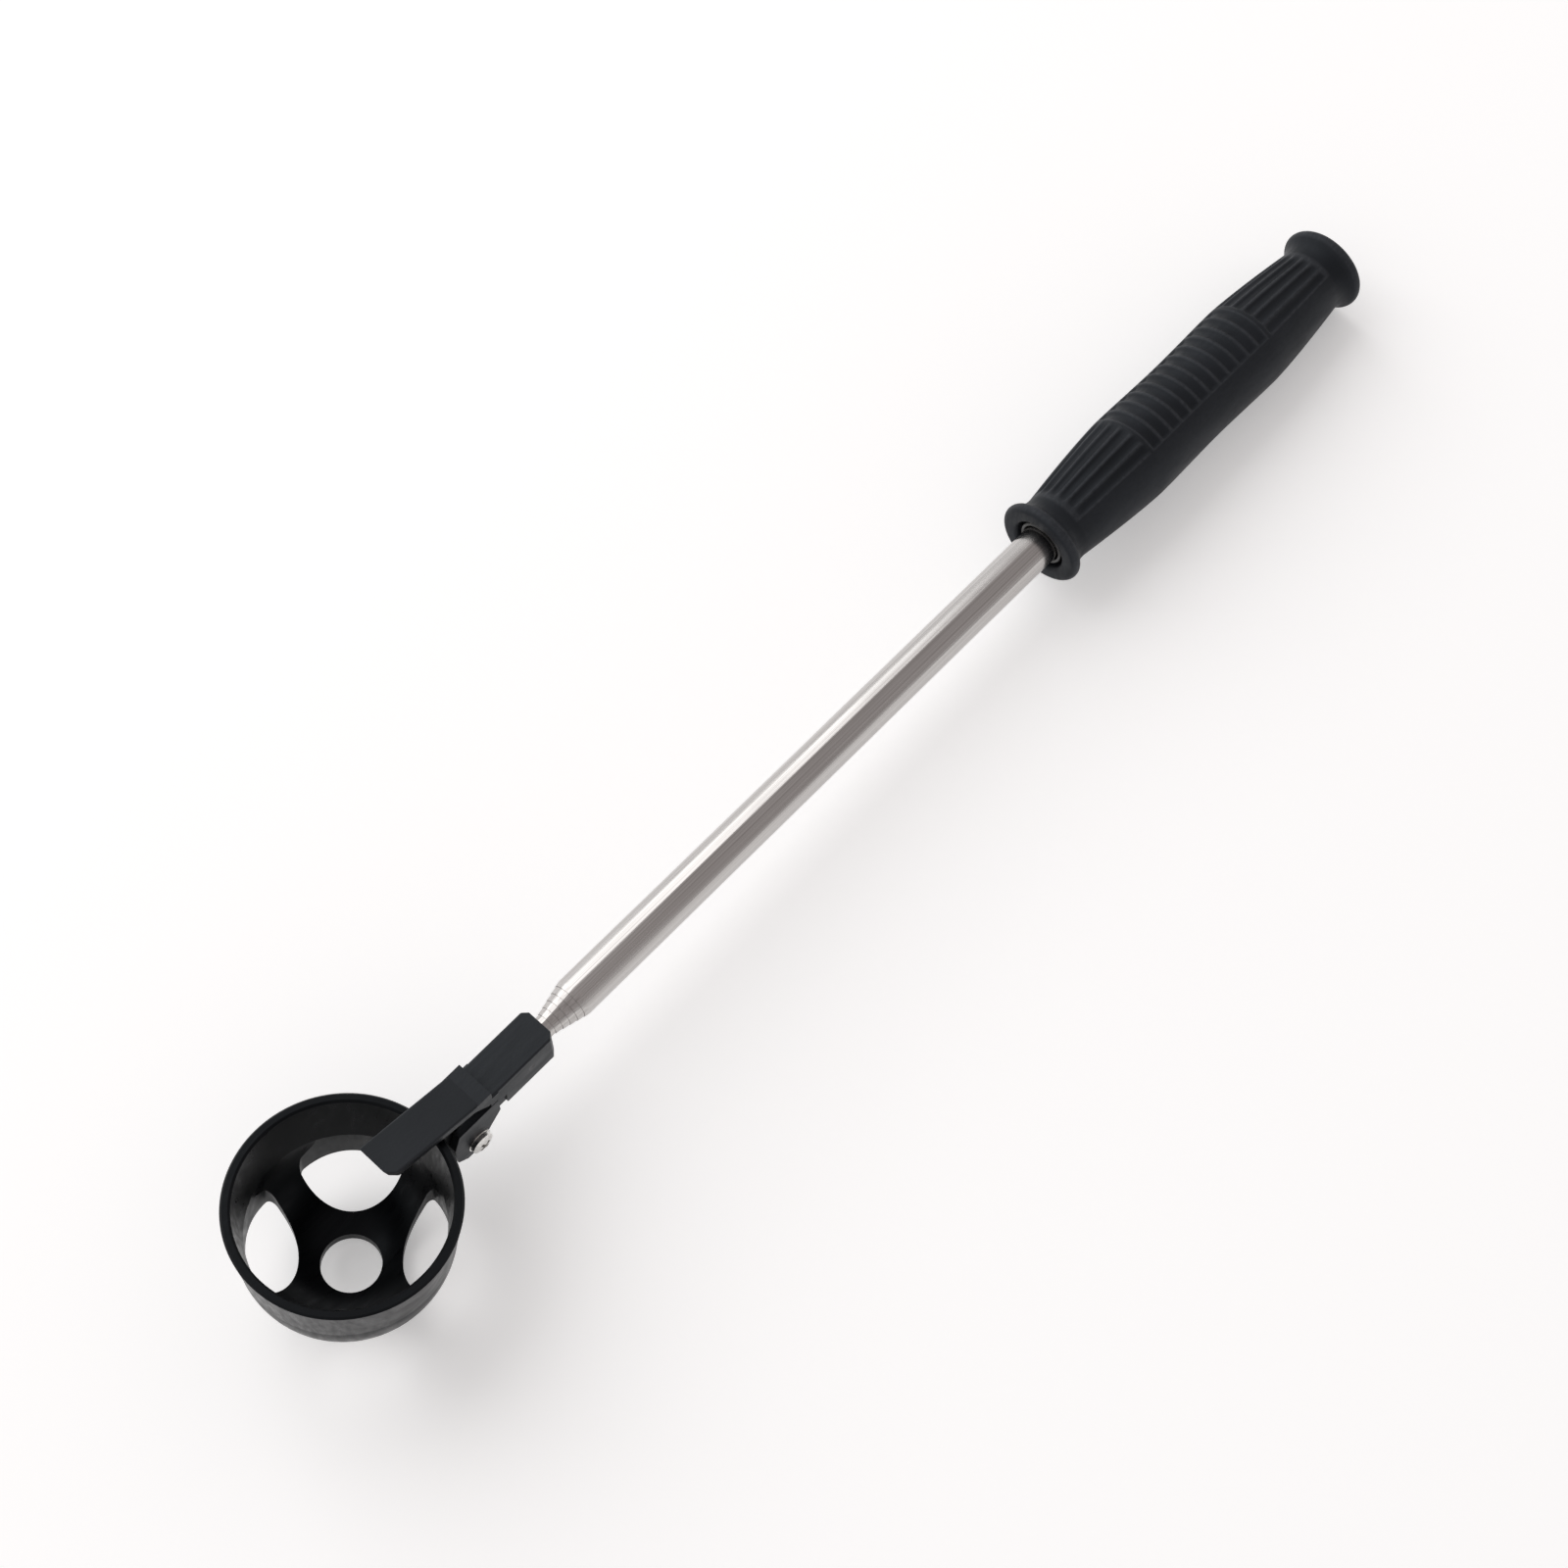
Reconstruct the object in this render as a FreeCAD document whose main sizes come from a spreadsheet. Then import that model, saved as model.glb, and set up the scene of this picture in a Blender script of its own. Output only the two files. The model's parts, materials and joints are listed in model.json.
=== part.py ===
"""Telescopic golf ball retriever, collapsed, as a parametric assembly.

Every piece is first built in the handle frame, in millimetres: the pole's axis is X, the
outlet end of the head bracket is X = 0, the grip is on the +X side, the cup hangs on the
-X side with its mouth up (+Z), and -Y is the side of the pivot screw's head.  At the end all
pieces get one shared Placement that lays the tool down on Z = 0, where it touches with the
cup and with the grip's rear rim, and that puts the origin under the middle of its box.
"""
import FreeCAD, Part
import math
import os
import re
import Sketcher
from FreeCAD import Placement, Rotation, Vector

# ---------------------------------------------------------------- driving dimensions
SIZES = {
    # telescopic pole: section 1 is the outer tube, the last section holds the head
    "section_count": 6,
    "tube_dia": 10.5,          # outer diameter of section 1
    "tube_step": 0.95,         # each section is this much thinner than the one around it
    "tube_wall": 0.25,
    "mouth_at": 9.5,           # mouth of section 1, measured from the bracket
    "mouth_step": 1.9,         # each mouth stands this much further out than the last
    "mouth_len": 1.6,          # length of the rolled-in mouth
    "mouth_gap": 0.06,         # running clearance of a mouth on the next section
    "tube_short": 5.8,         # section 1 ends this far inside the grip's rear face
    "plug_room": 7.0,          # left free behind section 2 for the grip cap's stem
    "end_step": 1.5,           # each inner end stops this much earlier
    "collar_len": 24.0,        # spring collar on the inner end of sections 2 to 6
    "collar_gap": 0.05,        # running clearance of a collar in the tube around it
    "collar_slot": 1.2,
    "swivel_gap": 0.03,        # running clearance of section 6 in its own collar
    # grip
    "grip_at": 178.4,          # front face of the grip
    "grip_len": 119.4,
    "rim_rad": 12.1,           # rounded rim at each end
    "rim_width": 4.2,
    "neck_rad": 9.75,
    "neck_at": 6.4,            # from each end face
    "body_rad": 12.5,
    "waist_rad": 12.05,
    "ring_zone": 36.0,         # from each end face to the ringed middle
    "ring_count": 12,
    "ring_depth": 0.55,
    "ring_width": 1.5,
    "core_gap": 0.05,
    "recess_len": 5.0,         # open mouth in front of the core
    "core_wall": 2.1,
    "cap_len": 3.0,
    "cap_stem": 6.0,
    # head bracket
    "block_len": 21.0,
    "block_width": 9.95,
    "block_top": 4.8,
    "block_low": 6.3,
    "socket_len": 15.0,
    "fork_width": 10.1,
    "fork_slot": 6.2,
    "fork_top": 0.0,
    "slot_root": 0.8,          # from the block's lower end to the root of the slot
    "pivot_out": 26.8,         # pivot, from the outlet end
    "pivot_drop": 10.6,        # pivot, below the pole's axis
    "cheek_reach": 6.6,        # the cheeks reach this far beyond the pivot,
    "cheek_near": 4.6,         # this far back towards the block
    "cheek_drop": 5.3,         # and this far below it
    "cheek_corner": 2.6,
    "cheek_foot": 3.4,
    "arm_width": 10.3,
    "arm_thick": 2.6,
    "arm_top": 7.7,            # height of the arm's root
    "arm_back": 0.6,           # the arm's root reaches back over the block by this much
    "arm_key": 2.6,            # and under the block's skin by this much
    "arm_bend": 24.2,          # where the arm starts to rise
    "arm_tip": 50.6,
    "arm_angle": 14.0,
    "arm_corner": 2.4,         # corner cut off the tip, on the screw head's side
    "arm_round": 0.5,
    "outlet_cut": 1.5,         # cut off the block's upright edges at its outlet
    "block_round": 0.5,
    "fork_round": 0.4,
    "notch_depth": 0.8,        # small recess in each side of the block beside the fork
    "notch_len": 2.6,
    "notch_top": 1.4,
    "cross_pin_dia": 2.0,
    "cross_pin_at": 8.0,
    # cup
    "hinge_gap": 7.3,          # from the pivot to the cup's rim, along the pole
    "cup_up": 10.1,
    "cup_tilt": 7.0,           # the mouth leans this far towards the grip, in degrees
    "cup_rad": 27.0,
    "cup_taper": 1.7,          # the bowl is this much narrower under its straight part
    "cup_straight": 14.5,
    "cup_wall": 2.4,
    "rim_cut": 0.5,
    "base_hole": 14.4,
    "vent_outer": 18.1,        # the two arcs that make a vent, and where they cross the ray
    "vent_inner": 15.2,
    "vent_near": 12.0,
    "vent_far": 23.3,
    "vent_round": 1.6,
    "ear_gap": 0.2,            # clearance of the cup's ears in the fork
    "ear_wall": 1.45,
    "ear_rad": 4.2,
    "ear_top": 1.4,            # below the rim
    "ear_low": 21.5,
    # pivot hardware
    "screw_dia": 3.0,
    "head_dia": 6.0,
    "head_height": 1.9,
    "washer_dia": 6.6,
    "washer_thick": 0.4,
    "sleeve_wall": 0.6,
    "nut_flats": 5.5,
    "nut_height": 2.2,
    "pivot_gap": 0.05,
    "wire_dia": 0.6,
    "coil_turns": 3.0,
    "coil_gap": 0.15,
}

# places and sizes that follow from others, by the names used for them below
DERIVED = {
    "tube_end": "(grip_at + grip_len - tube_short)",
    "grip_bore": "(tube_dia / 2 + core_wall + core_gap)",
    "cup_out": "(pivot_out + cup_rad + hinge_gap)",
    "cup_foot": "(cup_rad - cup_taper)",
}

doc = FreeCAD.newDocument("golf_ball_retriever")
sheet = doc.addObject("Spreadsheet::Sheet", "dims")
for row, (alias, value) in enumerate(SIZES.items(), start=1):
    sheet.set(f"A{row}", alias)
    sheet.set(f"B{row}", str(value))
    sheet.setAlias(f"B{row}", alias)
doc.recompute()

NODES = []                     # the finished pieces, one object for each


# ---------------------------------------------------------------- helpers
def spelled(text):
    """The expression with the derived names written out."""
    return re.sub(r"[A-Za-z_]\w*", lambda m: DERIVED.get(m[0], m[0]), text)


def bound(text):
    """The expression with every size name pointed at the sheet."""
    text = spelled(text)
    return re.sub(r"[A-Za-z_]\w*", lambda m: "dims." + m[0] if m[0] in SIZES else m[0], text)


def number(text):
    """What an expression is worth now."""
    found = sheet.evalExpression(spelled(text))
    return float(getattr(found, "Value", found))


def tie(thing, **expressions):
    """Bind properties of an object to expressions."""
    for prop, text in expressions.items():
        thing.setExpression(prop.replace("__", "."), bound(text))
    return thing


def node(thing, label):
    """Name a finished piece."""
    thing.Label = label
    NODES.append(thing)
    return thing


def new_body(label):
    return node(doc.addObject("PartDesign::Body", "Body_" + label), label)


def new_sketch(body, plane, name):
    """A sketch on one of the body's own origin planes."""
    sketch = body.newObject("Sketcher::SketchObject", name)
    face = [f for f in body.Origin.OriginFeatures if f.Role == plane][0]
    sketch.AttachmentSupport = [(face, "")]
    sketch.MapMode = "FlatFace"
    return sketch


def axis_of(body, role):
    return [f for f in body.Origin.OriginFeatures if f.Role == role][0]


def outline(sketch, corners):
    """A closed outline of straight sides; each corner is a pair of expressions."""
    places = [Vector(number(a), number(b), 0) for a, b in corners]
    count = len(places)
    first = sketch.GeometryCount
    for i in range(count):
        sketch.addGeometry(Part.LineSegment(places[i], places[(i + 1) % count]), False)
    for i in range(count):
        sketch.addConstraint(
            Sketcher.Constraint("Coincident", first + i, 2, first + (i + 1) % count, 1))
    for i, (across, along) in enumerate(corners):
        for kind, text, size in (("DistanceX", across, places[i].x),
                                 ("DistanceY", along, places[i].y)):
            at = sketch.addConstraint(Sketcher.Constraint(kind, -1, 1, first + i, 1, size))
            sketch.setExpression(f"Constraints[{at}]", bound(text))
    return sketch


def circle(sketch, across, along, radius):
    """A circle whose centre and radius are expressions."""
    centre = Vector(number(across), number(along), 0)
    made = sketch.addGeometry(Part.Circle(centre, Vector(0, 0, 1), number(radius)), False)
    for kind, text, size in (("DistanceX", across, centre.x), ("DistanceY", along, centre.y)):
        at = sketch.addConstraint(Sketcher.Constraint(kind, -1, 1, made, 3, size))
        sketch.setExpression(f"Constraints[{at}]", bound(text))
    at = sketch.addConstraint(Sketcher.Constraint("Radius", made, number(radius)))
    sketch.setExpression(f"Constraints[{at}]", bound(radius))
    return sketch


def pad(body, sketch, length, name):
    """A pad to both sides of the sketch."""
    made = body.newObject("PartDesign::Pad", name)
    made.Profile = sketch
    made.Midplane = True
    made.setExpression("Length", bound(length))
    return made


def pocket(body, sketch, length, name):
    """A cut to both sides of the sketch."""
    made = body.newObject("PartDesign::Pocket", name)
    made.Profile = sketch
    made.Midplane = True
    made.setExpression("Length", bound(length))
    return made


def turned(label, corners):
    """A body turned about the pole's axis; corners are (along, radius) expressions."""
    body = new_body(label)
    sketch = outline(new_sketch(body, "XZ_Plane", "Profile_" + label), corners)
    made = body.newObject("PartDesign::Revolution", "Turn_" + label)
    made.Profile = sketch
    made.ReferenceAxis = (sketch, ["H_Axis"])
    made.Angle = 360
    return body


def tube(label, start, end, inner, outer):
    return turned(label, [(start, inner), (end, inner), (end, outer), (start, outer)])


def edges_where(shape, wanted):
    """Names of the edges that a test accepts."""
    return [f"Edge{i}" for i, edge in enumerate(shape.Edges, start=1) if wanted(edge)]


def rounded(body, radius, wanted, name):
    """Fillet the edges of the body's tip that a test accepts."""
    doc.recompute()
    tip = body.Tip
    made = body.newObject("PartDesign::Fillet", name)
    made.Base = (tip, edges_where(tip.Shape, wanted))
    made.setExpression("Radius", bound(radius))
    return made


# ---------------------------------------------------------------- telescopic pole
def section_rad(i):
    return f"(tube_dia - {i - 1} * tube_step) / 2"


def mouth_of(i):
    return f"(mouth_at - {i - 1} * mouth_step)"


def end_of(i):
    room = "0" if i == 1 else "plug_room"
    return f"(tube_end - {room} - {i - 1} * end_step)"


def telescopic_section(i):
    """A tube whose mouth is rolled in until it just runs on the next section."""
    outer = section_rad(i)
    inner = f"({outer} - tube_wall)"
    lip = f"({section_rad(i + 1)} + mouth_gap)"
    mouth, end = mouth_of(i), end_of(i)
    turned(f"section_{i}", [
        (mouth, lip),
        (f"{mouth} + mouth_len / 2", lip),
        (f"{mouth} + mouth_len", inner),
        (end, inner),
        (end, outer),
        (f"{mouth} + mouth_len", outer),
        (f"{mouth} + mouth_len / 3", f"{lip} + tube_wall"),
        (mouth, f"{lip} + tube_wall * 0.6"),
    ])


def collar(i):
    """The split spring collar that gives section i its friction in the tube around it."""
    fit = "swivel_gap" if i == SIZES["section_count"] else "0"
    inner = f"({section_rad(i)} + {fit})"
    outer = f"({section_rad(i - 1)} - tube_wall - collar_gap)"
    end = f"({end_of(i)} - 1)"
    body = tube(f"collar_{i}", f"{end} - collar_len", end, inner, outer)
    slot = outline(new_sketch(body, "XY_Plane", f"Slot_{i}"), [
        (f"{end} - collar_len - 1", "-collar_slot / 2"),
        (f"{end} + 1", "-collar_slot / 2"),
        (f"{end} + 1", "collar_slot / 2"),
        (f"{end} - collar_len - 1", "collar_slot / 2"),
    ])
    cut = body.newObject("PartDesign::Pocket", f"Split_{i}")
    cut.Profile = slot
    cut.setExpression("Length", bound("tube_dia"))
    cut.Reversed = True


last = SIZES["section_count"]
for i in range(1, last):
    telescopic_section(i)
tube(f"section_{last}", "-socket_len", end_of(last),
     f"{section_rad(last)} - tube_wall", section_rad(last))
for i in range(2, last + 1):
    collar(i)
# the plug keeps the thin last section round where the cross pin goes through it
tube("tip_plug", "-socket_len", "0", "0", f"{section_rad(last)} - tube_wall")


# ---------------------------------------------------------------- grip
def grip_at(distance):
    return f"(grip_at + ({distance}))"


def grip_from_end(distance):
    return f"(grip_at + grip_len - ({distance}))"


grip = turned("grip", [
    (grip_at("0"), "grip_bore"),
    (grip_from_end("0"), "grip_bore"),
    (grip_from_end("0"), "rim_rad - rim_width * 0.5"),
    (grip_from_end("rim_width * 0.15"), "rim_rad - rim_width * 0.15"),
    (grip_from_end("rim_width * 0.5"), "rim_rad"),
    (grip_from_end("rim_width * 0.85"), "rim_rad - rim_width * 0.15"),
    (grip_from_end("rim_width"), "neck_rad + 0.5"),
    (grip_from_end("neck_at"), "neck_rad"),
    (grip_from_end("ring_zone * 0.45"), "neck_rad + (body_rad - neck_rad) * 0.55"),
    (grip_from_end("ring_zone * 0.75"), "neck_rad + (body_rad - neck_rad) * 0.92"),
    (grip_from_end("ring_zone"), "body_rad"),
    (grip_at("grip_len / 2"), "waist_rad"),
    (grip_at("ring_zone"), "body_rad"),
    (grip_at("ring_zone * 0.75"), "neck_rad + (body_rad - neck_rad) * 0.92"),
    (grip_at("ring_zone * 0.45"), "neck_rad + (body_rad - neck_rad) * 0.55"),
    (grip_at("neck_at"), "neck_rad"),
    (grip_at("rim_width"), "neck_rad + 0.5"),
    (grip_at("rim_width * 0.85"), "rim_rad - rim_width * 0.15"),
    (grip_at("rim_width * 0.5"), "rim_rad"),
    (grip_at("rim_width * 0.15"), "rim_rad - rim_width * 0.15"),
    (grip_at("0"), "rim_rad - rim_width * 0.5"),
])
ring_pitch = "((grip_len - 2 * ring_zone) / ring_count)"
ring_middle = f"(grip_at + ring_zone + {ring_pitch} / 2)"
ring_sketch = outline(new_sketch(grip, "XZ_Plane", "Ring_profile"), [
    (f"{ring_middle} - ring_width / 2", "body_rad + 0.2"),
    (f"{ring_middle}", "waist_rad - ring_depth"),
    (f"{ring_middle} + ring_width / 2", "body_rad + 0.2"),
])
ring = grip.newObject("PartDesign::Groove", "Ring")
ring.Profile = ring_sketch
ring.ReferenceAxis = (ring_sketch, ["H_Axis"])
ring.Angle = 360
doc.recompute()
rings = grip.newObject("PartDesign::LinearPattern", "Rings")
rings.Originals = [ring]
rings.Direction = (axis_of(grip, "X_Axis"), [""])
rings.Occurrences = SIZES["ring_count"]
rings.setExpression("Length", bound(f"{ring_pitch} * (ring_count - 1)"))
grip.Tip = rings

tube("grip_core", grip_at("recess_len"), grip_from_end("cap_len"),
     section_rad(1), f"{section_rad(1)} + core_wall")
turned("grip_cap", [
    (grip_from_end("cap_len + cap_stem"), "0"),
    (grip_from_end("0"), "0"),
    (grip_from_end("0"), "grip_bore"),
    (grip_from_end("cap_len"), "grip_bore"),
    (grip_from_end("cap_len"), f"{section_rad(1)} - tube_wall"),
    (grip_from_end("cap_len + cap_stem"), f"{section_rad(1)} - tube_wall"),
])


# ---------------------------------------------------------------- head bracket
def on_plane(edge, axis, place):
    """Does the whole edge lie in the plane where that coordinate has that value?"""
    low, high = edge.BoundBox.getPoint(0), edge.BoundBox.getPoint(6)
    return abs(getattr(low, axis) - place) < 0.01 and abs(getattr(high, axis) - place) < 0.01


def along(edge, axis):
    """Is the edge a straight line along that axis?"""
    size = {"x": edge.BoundBox.XLength, "y": edge.BoundBox.YLength, "z": edge.BoundBox.ZLength}
    return edge.Curve.TypeId == "Part::GeomLine" and abs(size[axis] - edge.Length) < 0.01


def block(body):
    """The socket block, with the corners of its outlet end cut off."""
    side = outline(new_sketch(body, "XZ_Plane", "Block_side"), [
        ("-block_len", "-block_low"), ("0", "-block_low"),
        ("0", "block_top"), ("-block_len", "block_top"),
    ])
    pad(body, side, "block_width", "Block")
    doc.recompute()
    tip = body.Tip
    cut = body.newObject("PartDesign::Chamfer", "Outlet_corners")
    cut.Base = (tip, edges_where(tip.Shape, lambda e: along(e, "z") and on_plane(e, "x", 0)))
    tie(cut, Size="outlet_cut")
    rounded(body, "block_round", lambda e: along(e, "x"), "Block_edges")


def arm(body):
    """The retaining arm: a steep root, then a long flat tongue over the cup's mouth."""
    rise = "(arm_tip - arm_bend) * tan(arm_angle)"
    side = outline(new_sketch(body, "XZ_Plane", "Arm_side"), [
        ("-block_len - arm_thick / 3", "block_top - arm_thick"),
        ("-block_len + arm_key", "block_top - arm_thick"),
        ("-block_len + arm_key", "block_top - 0.4"),
        ("-block_len + arm_back", "block_top - 0.4"),
        ("-block_len + arm_back", "arm_top"),
        ("-arm_bend", "arm_top"),
        ("-arm_tip", f"arm_top + {rise}"),
        ("-arm_tip + arm_thick * sin(arm_angle)", f"arm_top + {rise} - arm_thick"),
        ("-arm_bend - arm_thick / 4", "arm_top - arm_thick"),
    ])
    pad(body, side, "arm_width", "Arm")
    top = new_sketch(body, "XY_Plane", "Arm_corner_top")
    outline(top, [
        ("-arm_tip - 1", "-arm_width / 2 - 1"),
        ("-arm_tip + arm_corner", "-arm_width / 2 - 1"),
        ("-arm_tip + arm_corner", "-arm_width / 2"),
        ("-arm_tip", "-arm_width / 2 + arm_corner"),
        ("-arm_tip - 1", "-arm_width / 2 + arm_corner"),
    ])
    pocket(body, top, "4 * arm_top + 40", "Arm_corner")
    half = SIZES["arm_width"] / 2
    rounded(body, "arm_round", lambda e: e.BoundBox.XMax < -SIZES["arm_bend"] + 0.1
            and e.BoundBox.XLength > 5 and (on_plane(e, "y", half) or on_plane(e, "y", -half)),
            "Arm_edges")


def fork(body):
    """Two cheeks, the slot between them and the bore through them."""
    side = "XZ_Plane"
    cheeks = outline(new_sketch(body, side, "Fork_side"), [
        ("-block_len + 2", "fork_top"),
        ("-pivot_out - cheek_near", "fork_top"),
        ("-pivot_out - cheek_reach", "-pivot_drop + cheek_drop"),
        ("-pivot_out - cheek_reach", "-pivot_drop - cheek_drop + cheek_corner"),
        ("-pivot_out - cheek_reach + cheek_corner", "-pivot_drop - cheek_drop"),
        ("-pivot_out - cheek_reach + cheek_corner + cheek_foot", "-pivot_drop - cheek_drop"),
        ("-pivot_out + cheek_near", "-pivot_drop + 0.8"),
        ("-block_len + 2", "-block_low"),
    ])
    pad(body, cheeks, "fork_width", "Fork")
    half = SIZES["fork_width"] / 2
    rounded(body, "fork_round", lambda e: e.BoundBox.XMax < -SIZES["block_len"] + 2.1
            and e.BoundBox.ZMax < -SIZES["block_low"] + 0.5
            and (on_plane(e, "y", half) or on_plane(e, "y", -half)), "Fork_edges")
    slot = outline(new_sketch(body, side, "Fork_slot_side"), [
        ("-block_len - slot_root", "block_top - arm_thick"),
        ("-arm_tip", "block_top - arm_thick"),
        ("-arm_tip", "-pivot_drop - 2 * cheek_drop"),
        ("-block_len - slot_root", "-pivot_drop - 2 * cheek_drop"),
    ])
    pocket(body, slot, "fork_slot", "Fork_slot")
    bore = circle(new_sketch(body, side, "Pivot_side"), "-pivot_out", "-pivot_drop",
                  "screw_dia / 2")
    pocket(body, bore, "2 * fork_width", "Pivot_bore")


def side_notches(body):
    """A small recess in each side of the block, beside the fork's root."""
    top = new_sketch(body, "XY_Plane", "Notch_top")
    tie(top, AttachmentOffset__Base__z="-notch_top")
    for sense in ("", "-"):
        outline(top, [
            ("-block_len + 2", f"{sense}(block_width / 2 - notch_depth)"),
            ("-block_len + 2 + notch_len", f"{sense}(block_width / 2 - notch_depth)"),
            ("-block_len + 2 + notch_len", f"{sense}(block_width / 2 + 1)"),
            ("-block_len + 2", f"{sense}(block_width / 2 + 1)"),
        ])
    cut = body.newObject("PartDesign::Pocket", "Notches")
    cut.Profile = top
    tie(cut, Length="block_low + block_top")


def head_bracket():
    """Block, fork and retaining arm: one moulding."""
    body = new_body("head_bracket")
    block(body)
    arm(body)
    fork(body)
    side_notches(body)
    doc.recompute()
    before = body.Shape.Volume
    socket = circle(new_sketch(body, "YZ_Plane", "Socket_end"), "0", "0", section_rad(last))
    cut = body.newObject("PartDesign::Pocket", "Socket")
    cut.Profile = socket
    tie(cut, Length="socket_len")
    doc.recompute()
    if body.Shape.Volume > before - 1:
        raise RuntimeError("the socket cut nothing")
    pin = circle(new_sketch(body, "XZ_Plane", "Cross_pin_side"), "-cross_pin_at", "0",
                 "cross_pin_dia / 2")
    pocket(body, pin, "2 * block_width", "Cross_pin_bore")
    return body


head_bracket()


def through_y(label, across, along, radius, length):
    """A round bar along Y, centred on the middle plane."""
    body = new_body(label)
    sketch = circle(new_sketch(body, "XZ_Plane", "End_" + label), across, along, radius)
    pad(body, sketch, length, "Bar_" + label)
    return body


through_y("cross_pin", "-cross_pin_at", "0", "cross_pin_dia / 2", "block_width")

# the cross pin passes through the plug and the last section
for name in ("tip_plug", f"section_{last}"):
    holder = [n for n in NODES if n.Label == name][0]
    hole = circle(new_sketch(holder, "XZ_Plane", "Pin_hole_" + name), "-cross_pin_at", "0",
                  "cross_pin_dia / 2")
    pocket(holder, hole, "2 * block_width", "Pin_bore_" + name)


# ---------------------------------------------------------------- cup
def primitive(kind, name, **expressions):
    return tie(doc.addObject(kind, name), **expressions)


def fuse(name, *shapes):
    made = doc.addObject("Part::MultiFuse", name)
    made.Shapes = list(shapes)
    return made


def cut(name, base, tool):
    made = doc.addObject("Part::Cut", name)
    made.Base = base
    made.Tool = tool
    return made


def bowl(name, shrink):
    """The cup's outside, or its inside when it shrinks by the wall; rim centre at zero."""
    reach = "2" if shrink != "0" else "0"
    wall = primitive("Part::Cone", name + "_wall", Radius1=f"cup_foot - {shrink}",
                     Radius2=f"cup_rad - {shrink}", Height="cup_straight",
                     Placement__Base__z="-cup_straight")
    ball = primitive("Part::Sphere", name + "_ball", Radius=f"cup_foot - {shrink}",
                     Placement__Base__z="-cup_straight")
    ball.Angle2 = 0
    parts = [wall, ball]
    if reach != "0":
        parts.append(primitive("Part::Cylinder", name + "_mouth", Radius=f"cup_rad - {shrink}",
                               Height=reach))
    return fuse(name, *parts)


PIVOT_U = "((cup_out - pivot_out) * cos(cup_tilt) + (cup_up + pivot_drop) * sin(cup_tilt))"
PIVOT_W = "((cup_out - pivot_out) * sin(cup_tilt) - (cup_up + pivot_drop) * cos(cup_tilt))"


def ears():
    """Two ears that carry the cup on the pivot, drawn in the cup's own upright frame."""
    body = doc.addObject("PartDesign::Body", "Cup_ears")
    ear = outline(new_sketch(body, "XZ_Plane", "Ear_side"), [
        ("cup_foot - cup_wall", "-ear_top"),
        ("cup_rad + 1", "-ear_top"),
        (f"{PIVOT_U}", f"{PIVOT_W} + ear_rad"),
        (f"{PIVOT_U}", f"{PIVOT_W} - ear_rad"),
        ("cup_foot - cup_wall - 2", "-ear_low"),
    ])
    width = "(fork_slot - 2 * ear_gap)"
    pad(body, ear, width, "Ears")
    nose = circle(new_sketch(body, "XZ_Plane", "Ear_nose"), PIVOT_U, PIVOT_W, "ear_rad")
    pad(body, nose, width, "Noses")
    slot = outline(new_sketch(body, "XZ_Plane", "Ear_slot"), [
        ("cup_rad + 1.2", "2"),
        (f"{PIVOT_U} + 2 * ear_rad", "2"),
        (f"{PIVOT_U} + 2 * ear_rad", "-ear_low - 8"),
        ("cup_rad + 1.2", "-ear_low - 8"),
    ])
    pocket(body, slot, f"{width} - 2 * ear_wall", "Ear_slot_cut")
    bore = circle(new_sketch(body, "XZ_Plane", "Ear_bore"), PIVOT_U, PIVOT_W,
                  "screw_dia / 2 + sleeve_wall + pivot_gap")
    pocket(body, bore, f"2 * {width}", "Ear_bores")
    return body


def vent(k):
    """An oval prism on the k-th diagonal: two upright cylinders in common, its tips rounded."""
    turn = 45 + 90 * k
    tools = []
    for name, rad, centre in (("outer", "vent_outer", "(vent_far - vent_outer)"),
                              ("inner", "vent_inner", "(vent_near + vent_inner)")):
        tools.append(primitive(
            "Part::Cylinder", f"Vent_{name}_{k}", Radius=rad, Height="cup_foot + 5",
            Placement__Base__x=f"{centre} * cos({turn})",
            Placement__Base__y=f"{centre} * sin({turn})",
            Placement__Base__z="-cup_straight - cup_foot - 5"))
    pointed = doc.addObject("Part::MultiCommon", f"Vent_pointed_{k}")
    pointed.Shapes = tools
    doc.recompute()
    made = doc.addObject("Part::Fillet", f"Vent_{k}")
    made.Base = pointed
    tips = edges_where(pointed.Shape, lambda e: along(e, "z"))
    made.Edges = [(int(name[4:]), SIZES["vent_round"], SIZES["vent_round"]) for name in tips]
    return made


solid_cup = fuse("Cup_solid", bowl("Cup_outside", "0"), ears())
hollow_cup = cut("Cup_hollow", solid_cup, bowl("Cup_inside", "cup_wall"))
base_hole = primitive("Part::Cylinder", "Base_hole", Radius="base_hole / 2",
                      Height="cup_foot", Placement__Base__z="-cup_straight - cup_foot - 1")
vented_cup = cut("Cup_vented", hollow_cup,
                 fuse("Cup_openings", base_hole, *[vent(k) for k in range(4)]))


def rim_edges_cut(base):
    """Take the sharpness off both edges of the rim's flat face."""
    doc.recompute()
    made = doc.addObject("Part::Chamfer", "Cup_rim")
    made.Base = base
    rim = edges_where(base.Shape, lambda e: on_plane(e, "z", 0))
    made.Edges = [(int(name[4:]), SIZES["rim_cut"], SIZES["rim_cut"]) for name in rim]
    return made


cup = node(rim_edges_cut(vented_cup), "cup")


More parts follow.
